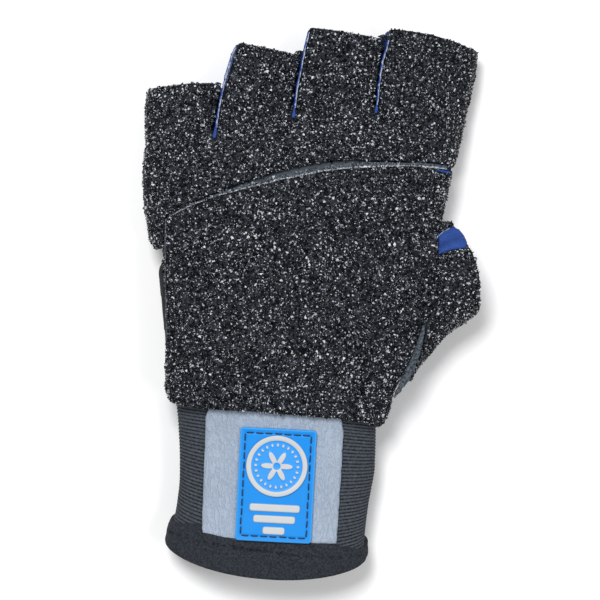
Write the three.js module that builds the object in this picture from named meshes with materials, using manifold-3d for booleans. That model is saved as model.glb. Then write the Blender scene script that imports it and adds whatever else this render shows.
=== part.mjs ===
// A half-finger shooting glove lying on its far side, as separate pieces: a thin fabric body, thick
// rubber grip panels over it, side walls between the fingers, a knitted cuff, a patch and a label.
// Millimetres. +X is towards the thumb, +Y towards the fingers, +Z up, away from the surface.
import * as THREE from "three";
import { mergeVertices } from "three/addons/utils/BufferGeometryUtils.js";
import Module from "manifold-3d";

const wasm = await Module();
wasm.setup();

// Driving sizes, in millimetres
const HAND = { width: 104, length: 105, thickness: 34 };
const FINGER_THICKNESS = 20;
const THUMB_THICKNESS = 22;
const BODY_WALL = 1.4;
const GRIP = { fingers: 2.4, hand: 3.2 };
const CUFF = { width: 70, length: 50, thickness: 27.5, wall: 2 };
const HEM = { below: 2.5, proud: 1.2, round: 1.5 };
const PATCH_THICKNESS = 1.3;
const LABEL = { width: 26.5, length: 39.3, thickness: 1.5, corner: 1.2 };
const EMBLEM_THICKNESS = 0.7;
const STRIPE_THICKNESS = 0.5;
const SIDE_WALL = { reach: 3.2, below: 5 }; // between two fingers, to each side of the slit and under it
const SLIT = { left: 0.6, right: 1, below: 1, bare: 8 }; // what the grip leaves open between two fingers
const SINK = 1.6; // how far each round section is flattened where it lies on the surface
const GAP = 0.3; // between pieces that touch

// Places, as shares of the hand's length
const LOBE_END = 0.527; // lower end of the finger panel's left lobe
const PANEL_OVERHANG = 0.1; // reach of the hand's panel past the body's end
const THUMB_TOP = 0.645; // upper end of the thumb's panels
const THUMB_HEEL = 0.2; // under it the thumb's panels lie on the hand
const THUMB_TAIL = 0.352; // how far across the thumb's panels taper at the wrist, of the hand's width
const WEBS = [0.923, 0.99, 1.01]; // where each slit between two fingers ends

// Edges round the thumb's axis, in degrees from its lower side over its front
const THUMB_EDGES = { under: -18, front: 104, wall: 190, apart: 3 };

// Places on the cuff and the label, as shares of their sizes
const LABEL_PLACE = { x: -0.125, along: 0.534, turn: -3 };
const EMBLEM = { radius: 0.4, up: 0.17 };
const STRIPES = { height: 0.07, pitch: 0.1, up: -0.2, lengths: [0.66, 0.55, 0.29] };

const SIDES = { hand: 24, finger: 12, thumb: 14, emblem: 20 };
const SQUARENESS = 2.5; // exponent of the sections: 2 is an ellipse, more is boxier
const FAR = 200; // reach of a cutter beyond the glove
const PAST = 1; // reach of a cutter past an open end
const FINEST = 0.01; // the finest detail of a solid

const UNDERSIDE = GRIP.fingers + GAP; // height of the fabric body's flat underside

// Sections of the hand from the wrist to the finger roots. along is a share of the hand's length,
// left and right are shares of its width, thick is a share of its thickness, turn is in degrees.
const HAND_SECTIONS = [
  { along: 0.023, left: -0.445, right: 0.27, thick: 0.92, turn: -7.5 },
  { along: 0.07, left: -0.458, right: 0.3, thick: 0.93, turn: -6 },
  { along: 0.14, left: -0.458, right: 0.362, thick: 0.96, turn: -3 },
  { along: 0.235, left: -0.461, right: 0.42, thick: 1, turn: 0 },
  { along: 0.457, left: -0.484, right: 0.44, thick: 0.98, turn: 0 },
  { along: 0.51, left: -0.458, right: 0.435, thick: 0.97, turn: 0 },
  { along: 0.555, left: -0.485, right: 0.428, thick: 0.96, turn: 0 },
  { along: 0.667, left: -0.504, right: 0.45, thick: 0.93, turn: 0 },
  { along: 0.77, left: -0.509, right: 0.476, thick: 0.89, turn: 0 },
  { along: 0.81, left: -0.509, right: 0.5, thick: 0.86, turn: 2 },
  { along: 0.91, left: -0.505, right: 0.53, thick: 0.74, turn: 5 },
  { along: 0.947, left: -0.48, right: 0.49, thick: 0.56, turn: 5 },
];

// Sections of each finger stub from inside the hand to its mouth, in the same shares,
// but thick is a share of the fingers' thickness. bow rounds the mouth, as a share of its half width.
const FINGER_SECTIONS = [
  [
    { along: 0.783, left: -0.497, right: -0.262, thick: 1.26, turn: 4 },
    { along: 0.923, left: -0.505, right: -0.2995, thick: 1.04, turn: 5 },
    { along: 1.01, left: -0.507, right: -0.292, thick: 0.93, turn: 5 },
    { along: 1.078, left: -0.5, right: -0.27, thick: 0.86, turn: 6 },
  ],
  [
    { along: 0.8, left: -0.31, right: -0.008, thick: 1.32, turn: 0 },
    { along: 0.923, left: -0.2965, right: -0.028, thick: 1.16, turn: -2 },
    { along: 0.99, left: -0.283, right: -0.0365, thick: 1.06, turn: -5 },
    { along: 1.1, left: -0.252, right: -0.024, thick: 0.97, turn: -9 },
    { along: 1.196, left: -0.223, right: -0.004, thick: 0.91, turn: -12 },
  ],
  [
    { along: 0.8, left: -0.045, right: 0.27, thick: 1.34, turn: 0 },
    { along: 1.01, left: -0.03, right: 0.2455, thick: 1.08, turn: -4 },
    { along: 1.13, left: -0.007, right: 0.262, thick: 1.0, turn: -7 },
    { along: 1.248, left: 0.023, right: 0.279, thick: 0.95, turn: -9 },
  ],
  [
    { along: 0.8, left: 0.227, right: 0.488, thick: 1.32, turn: 0 },
    { along: 1.01, left: 0.2495, right: 0.538, thick: 1.14, turn: -5 },
    { along: 1.14, left: 0.272, right: 0.567, thick: 1.03, turn: -10 },
    { along: 1.228, left: 0.287, right: 0.576, thick: 0.98, turn: -13, bow: 0.09 },
  ],
];

// Sections of the thumb stub. x and half are shares of the hand's width, along of its length,
// thick of the thumb's thickness. roll turns the section about the thumb's own axis, in degrees.
const THUMB_SECTIONS = [
  { x: 0.293, along: 0.33, half: 0.225, thick: 1.15, turn: -81, roll: 4 },
  { x: 0.375, along: 0.378, half: 0.21, thick: 1.12, turn: -80.7, roll: 8 },
  { x: 0.4545, along: 0.435, half: 0.177, thick: 1.04, turn: -80, roll: 16 },
  { x: 0.5015, along: 0.454, half: 0.164, thick: 0.97, turn: -76, roll: 21 },
  { x: 0.5486, along: 0.479, half: 0.149, thick: 0.9, turn: -72.3, roll: 24, bow: 0.24 },
];

// Sections of the cuff from the wrist to its end. along is a share of the cuff's length,
// counted down from the wrist, middle and width are shares of its width. under is the height of the
// underside, as a share of the body's underside height. bow and lean shape the lower edge.
const CUFF_SECTIONS = [
  { along: 0.16, middle: -0.122, width: 1.0, thick: 0.98, turn: -7, under: 1.4 },
  { along: 0.38, middle: -0.12, width: 0.985, thick: 0.98, turn: -6.5, under: 1.1, bow: -0.04, lean: -0.08 },
  { along: 0.6, middle: -0.135, width: 0.955, thick: 1, turn: -6, under: 0.8, bow: -0.07, lean: -0.16 },
  { along: 0.8, middle: -0.154, width: 0.955, thick: 1.03, turn: -5.5, under: 0.55, bow: -0.1, lean: -0.22 },
  { along: 0.97, middle: -0.174, width: 0.98, thick: 1.06, turn: -5, under: 0.45, bow: -0.12, lean: -0.27 },
];

// The hem's upper edge, in shares of the cuff's width and length, counted down from the wrist.
const HEM_TOP = [
  { x: -0.8, along: 0.7 },
  { x: -0.64, along: 0.76 },
  { x: -0.49, along: 0.845 },
  { x: -0.2, along: 0.91 },
  { x: 0.18, along: 0.942 },
  { x: 0.32, along: 0.9 },
  { x: 0.5, along: 0.84 },
];

// The front half ends, and the rear half starts, at this height over the surface.
const SEAM = [
  { along: -0.2, height: 0.41 },
  { along: 0.75, height: 0.41 },
  { along: 1, height: 0.32 },
  { along: 1.5, height: 0.3 },
];

// The line across the knuckles where two grip panels meet. x and along are shares of the hand's
// width and length, open is how far the panels stand apart there, in shares of its length.
const KNUCKLE_LINE = [
  { x: -0.452, along: 0.634, open: 0 },
  { x: -0.4165, along: 0.648, open: 0 },
  { x: -0.376, along: 0.6675, open: 0 },
  { x: -0.285, along: 0.704, open: 0.003 },
  { x: -0.184, along: 0.731, open: 0.014 },
  { x: -0.09, along: 0.752, open: 0.021 },
  { x: -0.006, along: 0.771, open: 0.023 },
  { x: 0.078, along: 0.788, open: 0.021 },
  { x: 0.166, along: 0.798, open: 0.018 },
  { x: 0.294, along: 0.802, open: 0.008 },
  { x: 0.4, along: 0.799, open: 0.004 },
  { x: 0.43, along: 0.796, open: 0.014 },
  { x: 0.5, along: 0.786, open: 0.016 },
  { x: 0.56, along: 0.776, open: 0.018 },
];

// The line where the hand's grip panel ends beside the thumb. open is in shares of the hand's width.
const THUMB_LINE = [
  { x: 0.455, along: 0.59, open: 0 },
  { x: 0.455, along: 0.42, open: 0 },
  { x: 0.452, along: 0.361, open: 0 },
  { x: 0.427, along: 0.311, open: 0.004 },
  { x: 0.388, along: 0.234, open: 0.022 },
  { x: 0.35, along: 0.131, open: 0.022 },
  { x: 0.312, along: 0.061, open: 0.022 },
];

// The right edge of the hand's grip panel, from the index finger's root down to the thumb.
const HAND_PANEL_RIGHT = [
  { x: 0.505, along: 0.775 },
  { x: 0.49, along: 0.678 },
  { x: 0.469, along: 0.621 },
  { x: 0.458, along: 0.6 },
];

// The lower edge of the hand's grip panel, which hangs over the wrist and the cuff.
const HAND_PANEL_END = [
  { x: 0.307, along: 0.034 },
  { x: 0.3, along: -0.006 },
  { x: 0.29, along: -0.035 },
  { x: 0.263, along: -0.069 },
  { x: 0.21, along: -0.048 },
  { x: 0.132, along: -0.036 },
  { x: -0.134, along: -0.0124 },
  { x: -0.305, along: -0.0024 },
  { x: -0.427, along: 0.011 },
  { x: -0.452, along: 0.05 },
];

// The left edge of the hand's grip panel, which leaves the fabric body bare beside it.
const HAND_PANEL_LEFT = [
  { x: -0.452, along: 0.634 },
  { x: -0.461, along: 0.52 },
  { x: -0.455, along: 0.4 },
  { x: -0.449, along: 0.25 },
  { x: -0.452, along: 0.12 },
];

// The rear grip panel's outline, from the fingers down the left side and up beside the thumb.
const REAR_PANEL = [
  { x: -0.4, along: LOBE_END },
  { x: -0.36, along: 0.4 },
  { x: -0.33, along: 0.1 },
  { x: 0.22, along: 0.06 },
  { x: 0.3, along: 0.12 },
  { x: 0.4, along: 0.3 },
  { x: 0.43, along: 0.64 },
];

// The blue side wall from the index finger's root to the thumb begins to the right of this line.
const SIDE_WALL_LINE = [
  { x: 0.43, along: 0.2 },
  { x: 0.43, along: 0.66 },
  { x: 0.445, along: 0.84 },
];
const SIDE_WALL_FOOT = 0.6; // under it the wall keeps to the thumb's upper side

// The patch's outline on the cuff, in shares of its width and length.
const PATCH_OUTLINE = [
  { x: -0.474, along: 0.066 },
  { x: -0.494, along: 0.873 },
  { x: -0.32, along: 0.918 },
  { x: 0.176, along: 0.95 },
  { x: 0.211, along: 0.138 },
  { x: 0.2, along: 0.095 },
  { x: 0.1, along: 0.0 },
  { x: -0.45, along: -0.03 },
];

const MATERIALS = {
  grip: { color: 0x1d1e21, roughness: 0.75 },
  fabric: { color: 0x2a2d33, roughness: 0.85 },
  suede: { color: 0x24408f, roughness: 0.9 },
  knit: { color: 0x26282c, roughness: 0.95 },
  hem: { color: 0x2b2e33, roughness: 0.9 },
  leather: { color: 0xa3a9b4, roughness: 0.6 },
  rubber: { color: 0x1b86dc, roughness: 0.45 },
  emblem: { color: 0xc9ccd0, roughness: 0.5 },
};

const across = (share) => share * HAND.width;
const along = (share) => share * HAND.length;
const degrees = THREE.MathUtils.degToRad;
const onHand = (row) => [across(row.x), along(row.along)];
const onCuff = (row) => [row.x * CUFF.width, -row.along * CUFF.length];

// A row of a table as a section: its middle, half sizes, heading and shape, in millimetres.
const section = (row, x, y, half, thickness) => ({
  x,
  y,
  half,
  thick: (row.thick * thickness) / 2,
  turn: degrees(row.turn),
  roll: degrees(row.roll ?? 0),
  under: (row.under ?? 1) * UNDERSIDE,
  bow: row.bow ?? 0,
  lean: row.lean ?? 0,
  inset: 0,
});
const handSection = (row, thickness) => {
  const half = across((row.right - row.left) / 2) / Math.cos(degrees(row.turn));
  return section(row, across((row.left + row.right) / 2), along(row.along), half, thickness);
};
const handSections = HAND_SECTIONS.map((row) => handSection(row, HAND.thickness));
const fingerSections = FINGER_SECTIONS.map((rows) => rows.map((row) => handSection(row, FINGER_THICKNESS)));
const thumbSections = THUMB_SECTIONS.map((row) =>
  section(row, across(row.x), along(row.along), across(row.half), THUMB_THICKNESS),
);
const cuffSections = CUFF_SECTIONS.map((row) => {
  const [x, y] = onCuff({ x: row.middle, along: row.along });
  return section(row, x, y, (row.width * CUFF.width) / 2, CUFF.thickness);
});

const power = (value) => Math.sign(value) * Math.abs(value) ** (2 / SQUARENESS);

// The point of a section at an angle, with the section moved outwards by grow or blown up by scale.
// A section that isn't blown up is flat where it lies on its underside.
function pointOn(row, angle, grow, scale = 1) {
  const outwards = grow - row.inset;
  const side = power(Math.cos(angle)) * (row.half + outwards) * scale;
  const rise = power(Math.sin(angle)) * (row.thick + outwards) * scale;
  const spread = side * Math.cos(row.roll) - rise * Math.sin(row.roll);
  const lift = side * Math.sin(row.roll) + rise * Math.cos(row.roll);
  const middle = row.under + row.thick - SINK + Math.abs(Math.sin(row.roll)) * row.half;
  const z = Math.max(scale > 1 ? -FAR : row.under - outwards, middle + lift);
  const swell = row.bow * row.half * (1 - Math.min(1, (spread / row.half) ** 2));
  const ahead = swell + row.lean * (z - middle);
  return new THREE.Vector3(
    row.x + spread * Math.cos(row.turn) - ahead * Math.sin(row.turn),
    row.y + spread * Math.sin(row.turn) + ahead * Math.cos(row.turn),
    z,
  );
}

// A section moved ahead along its own heading.
const moved = (row, distance) => ({
  ...row,
  x: row.x - distance * Math.sin(row.turn),
  y: row.y + distance * Math.cos(row.turn),
});

// A closed geometry through rings of points, with a fan over the first and the last.
function loftGeometry(rings) {
  const count = rings[0].length;
  const points = rings.flat();
  const index = [];
  for (let i = 0; i + 1 < rings.length; i++) {
    for (let j = 0; j < count; j++) {
      const a = i * count + j;
      const b = i * count + ((j + 1) % count);
      index.push(a, b + count, b, a, a + count, b + count);
    }
  }
  [rings[0], rings.at(-1)].forEach((ring, end) => {
    const hub = points.length;
    const start = end * (rings.length - 1) * count;
    points.push(ring.reduce((sum, point) => sum.add(point), new THREE.Vector3()).divideScalar(count));
    for (let j = 0; j < count; j++) {
      const edge = [start + j, start + ((j + 1) % count)];
      index.push(hub, ...(end ? edge.reverse() : edge));
    }
  });
  return new THREE.BufferGeometry().setFromPoints(points).setIndex(index);
}

// A geometry as a manifold solid, and a manifold solid as a geometry.
function solidFrom(geometry) {
  const bare = geometry.clone();
  bare.deleteAttribute("normal");
  bare.deleteAttribute("uv");
  const merged = mergeVertices(bare, FINEST / 100);
  const vertProperties = new Float32Array(merged.attributes.position.array);
  const triVerts = new Uint32Array(merged.index.array);
  return new wasm.Manifold(new wasm.Mesh({ numProp: 3, vertProperties, triVerts }));
}
function geometryFrom(solid) {
  const { numProp, numVert, vertProperties, triVerts } = solid.getMesh();
  const corner = (_, i) => new THREE.Vector3().fromArray(vertProperties, i * numProp);
  return new THREE.BufferGeometry()
    .setFromPoints(Array.from({ length: numVert }, corner))
    .setIndex(Array.from(triVerts));
}

// A tube through sections, which follow each other along their heading. start and end add a stretch
// before the first section and after the last.
function tube(sections, sides, grow, start = 0, end = 0) {
  const rows = [...sections];
  if (start) rows.unshift(moved(sections[0], -start));
  if (end) rows.push(moved(sections.at(-1), end));
  const angles = Array.from({ length: sides }, (_, j) => (2 * Math.PI * j) / sides);
  return solidFrom(loftGeometry(rows.map((row) => angles.map((angle) => pointOn(row, angle, grow)))));
}

// A wedge about the thumb's axis between two angles, which reaches past its surface and its mouth.
function thumbWedge(from, to) {
  const beyond = 1.5;
  const steps = Math.ceil((to - from) / 30);
  const rows = [...thumbSections.slice(0, -1), moved(thumbSections.at(-1), THUMB_THICKNESS)];
  const rings = rows.map((row) => {
    const hub = new THREE.Vector3(row.x, row.y, pointOn(row, 0, -row.half).z);
    const angle = (k) => degrees(from + ((to - from) * k) / steps);
    return [hub, ...Array.from({ length: steps + 1 }, (_, k) => pointOn(row, angle(k), 0, beyond))];
  });
  return solidFrom(loftGeometry(rings));
}

// An outline in plan, standing from far below to far above the glove.
const outline = (points) => new THREE.Shape(points.map(([x, y]) => new THREE.Vector2(x, y)));
const upright = { depth: 2 * FAR, bevelEnabled: false, curveSegments: 2 };
const standing = (shape) => new THREE.ExtrudeGeometry(shape, upright).translate(0, 0, -FAR);
const prism = (points) => solidFrom(standing(outline(points)));

// All that lies over the seam between the front and the rear half, or under it.
function seamHalf(side) {
  const line = SEAM.map((row) => [along(row.along), row.height * HAND.thickness + (side * GAP) / 2]);
  const rest = [
    [FAR, line.at(-1)[1]],
    [FAR, side * FAR],
    [-FAR, side * FAR],
    [-FAR, line[0][1]],
  ];
  return solidFrom(standing(outline([...line, ...rest])).rotateX(Math.PI / 2).rotateZ(Math.PI / 2));
}

// The whole hand, fingers and thumb, with every surface moved outwards by grow.
function handForm(grow, open, overhang) {
  const knuckles = moved(handSections.at(-1), grow);
  const root = grow + BODY_WALL + GAP;
  const palm = tube([...handSections.slice(0, -1), knuckles], SIDES.hand, grow, overhang);
  const fingers = fingerSections.map((rows) => tube(rows, SIDES.finger, grow, root, open));
  const thumb = tube(thumbSections, SIDES.thumb, grow, root, open);
  return [...fingers, thumb].reduce((sum, part) => sum.add(part), palm);
}

// A shell of the hand between two distances from the fabric body's outer surface.
const handShell = (inner, outer, overhang = 0) =>
  handForm(outer, 0, overhang).subtract(handForm(inner, PAST, overhang + PAST));

// Where the edge of a finger lies in plan, at a share along the hand.
function fingerEdge(finger, side, share) {
  const rows = FINGER_SECTIONS[finger];
  const found = rows.findIndex((row) => row.along >= share);
  const next = Math.max(1, found < 0 ? rows.length - 1 : found);
  const [a, b] = [rows[next - 1], rows[next]];
  return across(THREE.MathUtils.mapLinear(share, a.along, b.along, a[side], b[side]));
}

// A corridor in plan along the slit between two fingers, so far to its left, right and under it.
// Past the mouth of the finger on its left it opens by bare, at the side of the finger on its right.
function slitCorridor(slit, { left, right, below, bare = 0 }) {
  const mouth = FINGER_SECTIONS[slit].at(-1).along;
  const middle = (share) => {
    const held = Math.max(share, WEBS[slit]);
    return (fingerEdge(slit, "right", held) + fingerEdge(slit + 1, "left", held)) / 2;
  };
  const edge = (reach) => (share) => [middle(share) + reach, along(share)];
  const shares = [WEBS[slit] - below / HAND.length, WEBS[slit], mouth];
  const beyond = [mouth, 2 * mouth - WEBS[slit]];
  return prism([
    ...[...shares, beyond[1]].map(edge(right)),
    ...beyond.map(edge(-left - bare)).reverse(),
    ...shares.map(edge(-left)).reverse(),
  ]);
}

// The largest body of a solid, without the slivers that a cut may leave beside it.
const larger = (a, b) => (b.volume() > a.volume() ? b : a);
const whole = (solid) => solid.decompose().reduce(larger);

// Corners nearer than the finest detail, which cuts leave where facets nearly meet, are drawn
// together into one, and triangles that fall flat with them are dropped.
function withoutSlivers(geometry) {
  const place = geometry.attributes.position;
  const corner = (_, i) => new THREE.Vector3().fromBufferAttribute(place, i);
  const corners = Array.from({ length: place.count }, corner);
  const order = corners.map((_, i) => i).sort((a, b) => corners[a].x - corners[b].x);
  const home = corners.map((_, i) => i);
  order.forEach((a, rank) => {
    for (let next = rank + 1; next < order.length; next++) {
      const b = order[next];
      if (corners[b].x - corners[a].x > FINEST) break;
      if (corners[a].distanceTo(corners[b]) < FINEST) home[b] = home[a];
    }
  });
  const faces = new Map();
  const index = geometry.index.array;
  for (let i = 0; i < index.length; i += 3) {
    const face = [home[index[i]], home[index[i + 1]], home[index[i + 2]]];
    const name = face.toSorted((a, b) => a - b).join();
    if (new Set(face).size < 3) continue;
    if (faces.has(name)) faces.delete(name);
    else faces.set(name, face);
  }
  return new THREE.BufferGeometry().setAttribute("position", place).setIndex([...faces.values()].flat());
}

const glove = new THREE.Group();
function add(name, material, solid) {
  const geometry = geometryFrom(whole(solidFrom(withoutSlivers(geometryFrom(whole(solid))))));
  geometry.computeVertexNormals();
  const surface = new THREE.MeshStandardMaterial({ metalness: 0, ...MATERIALS[material] });
  const node = new THREE.Mesh(geometry, surface);
  node.name = name;
  glove.add(node);
}

const frontHalf = seamHalf(1);
const rearHalf = seamHalf(-1);
const bodyShell = handShell(-BODY_WALL, 0);
const reach = 1.5 * HAND.width; // past the glove's side, in plan

// Side walls: three between the fingers, and one from the index finger's root to the thumb's mouth
const fingerWallZone = (slit, grow) =>
  slitCorridor(slit, {
    left: SIDE_WALL.reach + grow,
    right: SIDE_WALL.reach + grow,
    below: SIDE_WALL.below + grow,
  });
WEBS.forEach((_, slit) => {
  add("finger_wall_" + (slit + 1), "suede", bodyShell.intersect(fingerWallZone(slit, 0)));
});

function thumbWallZone(grow) {
  const line = SIDE_WALL_LINE.map(onHand).map(([x, y]) => [x - grow, y]);
  const [foot, top] = [along(SIDE_WALL_FOOT) - grow, line.at(-1)[1] + grow];
  const beside = prism([[reach, line[0][1]], [reach, top], [line.at(-1)[0], top], ...line.toReversed()]);
  const over = prism([[-reach, foot], [reach, foot], [reach, top], [-reach, top]]);
  const apart = grow > 0 ? THUMB_EDGES.apart : 0;
  return beside.intersect(thumbWedge(THUMB_EDGES.front - apart, THUMB_EDGES.wall + apart).add(over));
}
add("thumb_wall", "suede", bodyShell.intersect(thumbWallZone(0)));

// The fabric body in two halves, cut back from the side walls
const body = WEBS.reduce((rest, _, slit) => rest.subtract(fingerWallZone(slit, GAP)), bodyShell).subtract(
  thumbWallZone(GAP),
);
add("body_front", "fabric", body.intersect(frontHalf));
add("body_rear", "fabric", body.intersect(rearHalf));

// Lines where two grip panels meet: 0 is the edge of the hand's panel, 1 the other panel's edge.
const knuckleLine = (other) =>
  KNUCKLE_LINE.map((row) => [across(row.x), along(row.along + row.open * other) + GAP * other]);
const thumbLine = (other) =>
  THUMB_LINE.map((row) => [across(row.x + row.open * other) + GAP * other, along(row.along)]);

// Grip panels over the fingers, with a lobe down the left side, and over the hand
const gripLayer = handShell(GAP, GAP + GRIP.fingers);
const fingerLayer = WEBS.reduce((rest, _, slit) => rest.subtract(slitCorridor(slit, SLIT)), gripLayer);
const fingerRegion = prism([
  ...knuckleLine(1),
  [reach, along(KNUCKLE_LINE.at(-1).along)],
  [reach, along(2)],
  [-reach, along(2)],
  [-reach, along(LOBE_END)],
  [across(HAND_PANEL_LEFT[1].x) - GAP, along(LOBE_END)],
  [across(KNUCKLE_LINE[0].x) - GAP, along(KNUCKLE_LINE[0].along)],
]);
add("finger_grip", "grip", fingerLayer.intersect(frontHalf).intersect(fingerRegion));

const handLayer = handShell(GAP, GAP + GRIP.hand, along(PANEL_OVERHANG));
const handRegion = prism([
  ...knuckleLine(0).slice(0, -1),
  ...HAND_PANEL_RIGHT.map(onHand),
  ...thumbLine(0),
  ...HAND_PANEL_END.map(onHand),
  ...HAND_PANEL_LEFT.slice(1).reverse().map(onHand),
]);
add("hand_grip", "grip", handLayer.intersect(frontHalf).intersect(handRegion));

// Grip panels round the thumb part along its own axis, and at its heel along the hand's seam.
const thumbLayer = gripLayer.intersect(
  prism([
    ...thumbLine(1).reverse(),
    [across(THUMB_LINE[0].x) + GAP, along(THUMB_TOP)],
    [reach, along(THUMB_TOP)],
    [reach, 0],
    [across(THUMB_TAIL), 0],
  ]),
);
const heel = prism([[0, 0], [reach, 0], [reach, along(THUMB_HEEL)], [0, along(THUMB_HEEL)]]);
const underCut = (side) => THUMB_EDGES.under + (side * THUMB_EDGES.apart) / 2;
const frontSector = (side) => thumbWedge(underCut(side), THUMB_EDGES.front - THUMB_EDGES.apart);
const rearSector = (side) => thumbWedge(THUMB_EDGES.wall + THUMB_EDGES.apart - 360, underCut(side));
const frontZone = frontSector(1).add(heel.intersect(frontHalf).subtract(rearSector(1)));
const rearZone = rearSector(-1).add(heel.intersect(rearHalf).subtract(frontSector(-1)));
add("thumb_grip_front", "grip", thumbLayer.intersect(frontZone));
add("thumb_grip_rear", "grip", thumbLayer.intersect(rearZone));

// The grip panel on the far side, on which the glove lies
const rearTop = along(THUMB_TOP) + GAP;
const rearRegion = prism([
  [reach, rearTop],
  [reach, along(2)],
  [-reach, along(2)],
  [-reach, along(LOBE_END)],
  ...REAR_PANEL.map(onHand),
  [across(REAR_PANEL.at(-1).x), rearTop],
]);
add("rear_grip", "grip", fingerLayer.intersect(rearHalf).intersect(rearRegion));

// The cuff starts inside the wrist, a clearance inside the body's wall, and runs down to its end.
const tucked = handSections.slice(0, 2).map((row) => ({ ...row, inset: BODY_WALL + GAP }));
const cuffRun = [...cuffSections.toReversed(), ...tucked];
const cuffForm = (grow, below = 0, above = 0) => tube(cuffRun, SIDES.hand, grow, below, above);
const cuffCavity = cuffForm(-CUFF.wall, HEM.below + PAST, PAST);
add("cuff", "knit", cuffForm(0).subtract(cuffCavity));

// A patch on the cuff, whose outline stands for the patch itself or, with grow, for the room it needs
const patchMiddle = new THREE.Box2().setFromPoints(
  PATCH_OUTLINE.map(onCuff).map(([x, y]) => new THREE.Vector2(x, y)),
).getCenter(new THREE.Vector2());
const patchZone = (grow) =>
  prism(
    PATCH_OUTLINE.map(onCuff).map(([x, y]) => [
      x + Math.sign(x - patchMiddle.x) * grow,
      y + Math.sign(y - patchMiddle.y) * grow,
    ]),
  ).intersect(frontHalf);
function cuffLayer(bottom, thickness) {
  const within = cuffForm(bottom, HEM.below + PAST, PAST);
  return cuffForm(bottom + thickness, HEM.below).subtract(within).intersect(frontHalf);
}
const patchBottom = GAP;
add("wrist_patch", "leather", cuffLayer(patchBottom, PATCH_THICKNESS).intersect(patchZone(0)));

// The hem laps over the cuff's end and leaves room for the patch. Its lower edge is rounded.
const cuffEnd = cuffSections.at(-1);
const hemRows = [
  { ...moved(cuffEnd, -HEM.below), inset: HEM.round },
  { ...moved(cuffEnd, HEM.round / 2 - HEM.below), inset: HEM.round / 2 },
  moved(cuffEnd, HEM.round - HEM.below),
  cuffEnd,
  cuffSections.at(-2),
];
const hemZone = prism([[-reach, -FAR], [reach, -FAR], ...HEM_TOP.toReversed().map(onCuff)]);
const hemBand = tube(hemRows, SIDES.hand, HEM.proud).subtract(cuffCavity).subtract(cuffForm(GAP, GAP));
add("cuff_hem", "hem", hemBand.intersect(hemZone).subtract(patchZone(GAP)));

// The label lies on the patch, and its emblem and stripes on the label.
const [labelX, labelY] = onCuff(LABEL_PLACE);
const labelTurn = new THREE.Matrix4().makeRotationZ(degrees(LABEL_PLACE.turn));
const labelFrame = labelTurn.setPosition(labelX, labelY, 0);
function roundedBar(width, height, corner, up = 0) {
  const [w, h] = [width / 2 - corner, height / 2 - corner];
  const shape = new THREE.Shape();
  [[w, h], [-w, h], [-w, -h], [w, -h]].forEach(([x, y], quarter) => {
    shape.absarc(x, up + y, corner, (quarter * Math.PI) / 2, ((quarter + 1) * Math.PI) / 2);
  });
  return solidFrom(standing(shape).applyMatrix4(labelFrame));
}
const labelBottom = patchBottom + PATCH_THICKNESS + GAP;
const labelZone = roundedBar(LABEL.width, LABEL.length, LABEL.corner);
add("label_plate", "rubber", cuffLayer(labelBottom, LABEL.thickness).intersect(labelZone));

const onLabel = labelBottom + LABEL.thickness + GAP;
const radius = EMBLEM.radius * LABEL.width;
const disc = new THREE.CylinderGeometry(radius, radius, 2 * FAR, SIDES.emblem)
  .rotateX(Math.PI / 2)
  .translate(0, EMBLEM.up * LABEL.length, 0)
  .applyMatrix4(labelFrame);
add("label_emblem", "emblem", cuffLayer(onLabel, EMBLEM_THICKNESS).intersect(solidFrom(disc)));

const stripeHeight = STRIPES.height * LABEL.length;
STRIPES.lengths.forEach((share, row) => {
  const up = (STRIPES.up - row * STRIPES.pitch) * LABEL.length;
  const bar = roundedBar(share * LABEL.width, stripeHeight, stripeHeight / 3, up);
  add("label_bar_" + (row + 1), "emblem", cuffLayer(onLabel, STRIPE_THICKNESS).intersect(bar));
});

// The glove in its own frame: over the middle of its footprint, standing on z = 0
const bounds = new THREE.Box3().setFromObject(glove);
const footprint = bounds.getCenter(new THREE.Vector3());
glove.position.set(-footprint.x, -footprint.y, -bounds.min.z);

export default glove;
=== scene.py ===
import math

import bpy
import numpy as np
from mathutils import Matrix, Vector


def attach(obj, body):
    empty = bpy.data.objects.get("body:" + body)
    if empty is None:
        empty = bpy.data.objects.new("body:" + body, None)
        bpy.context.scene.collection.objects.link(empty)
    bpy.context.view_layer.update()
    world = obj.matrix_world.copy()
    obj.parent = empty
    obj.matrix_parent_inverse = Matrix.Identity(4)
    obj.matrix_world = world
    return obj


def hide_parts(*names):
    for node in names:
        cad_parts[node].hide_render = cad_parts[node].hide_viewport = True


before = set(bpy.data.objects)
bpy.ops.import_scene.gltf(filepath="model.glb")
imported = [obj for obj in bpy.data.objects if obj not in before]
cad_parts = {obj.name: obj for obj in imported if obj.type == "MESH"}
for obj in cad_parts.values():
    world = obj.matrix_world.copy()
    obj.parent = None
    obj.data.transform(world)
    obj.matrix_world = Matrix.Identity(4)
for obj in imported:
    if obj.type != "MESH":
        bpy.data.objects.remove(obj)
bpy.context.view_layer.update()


# The view: straight down on the glove, which lies on a plain pale table under soft light.
# A long lens keeps the fingers and the cuff at one scale, 600 pixels for 210 mm.
scene = bpy.context.scene
scene.view_settings.view_transform = "Standard"
camera = bpy.data.objects.new("camera", bpy.data.cameras.new("camera"))
scene.collection.objects.link(camera)
LENS, SENSOR = 150, 36  # in mm
VIEW_WIDTH, GLOVE_TOP = 0.210, 0.021
camera.data.lens = LENS
camera.data.clip_start = 0.01
camera.location = (-0.00385, 0.0005, GLOVE_TOP + VIEW_WIDTH * LENS / SENSOR)
scene.camera = camera


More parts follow.
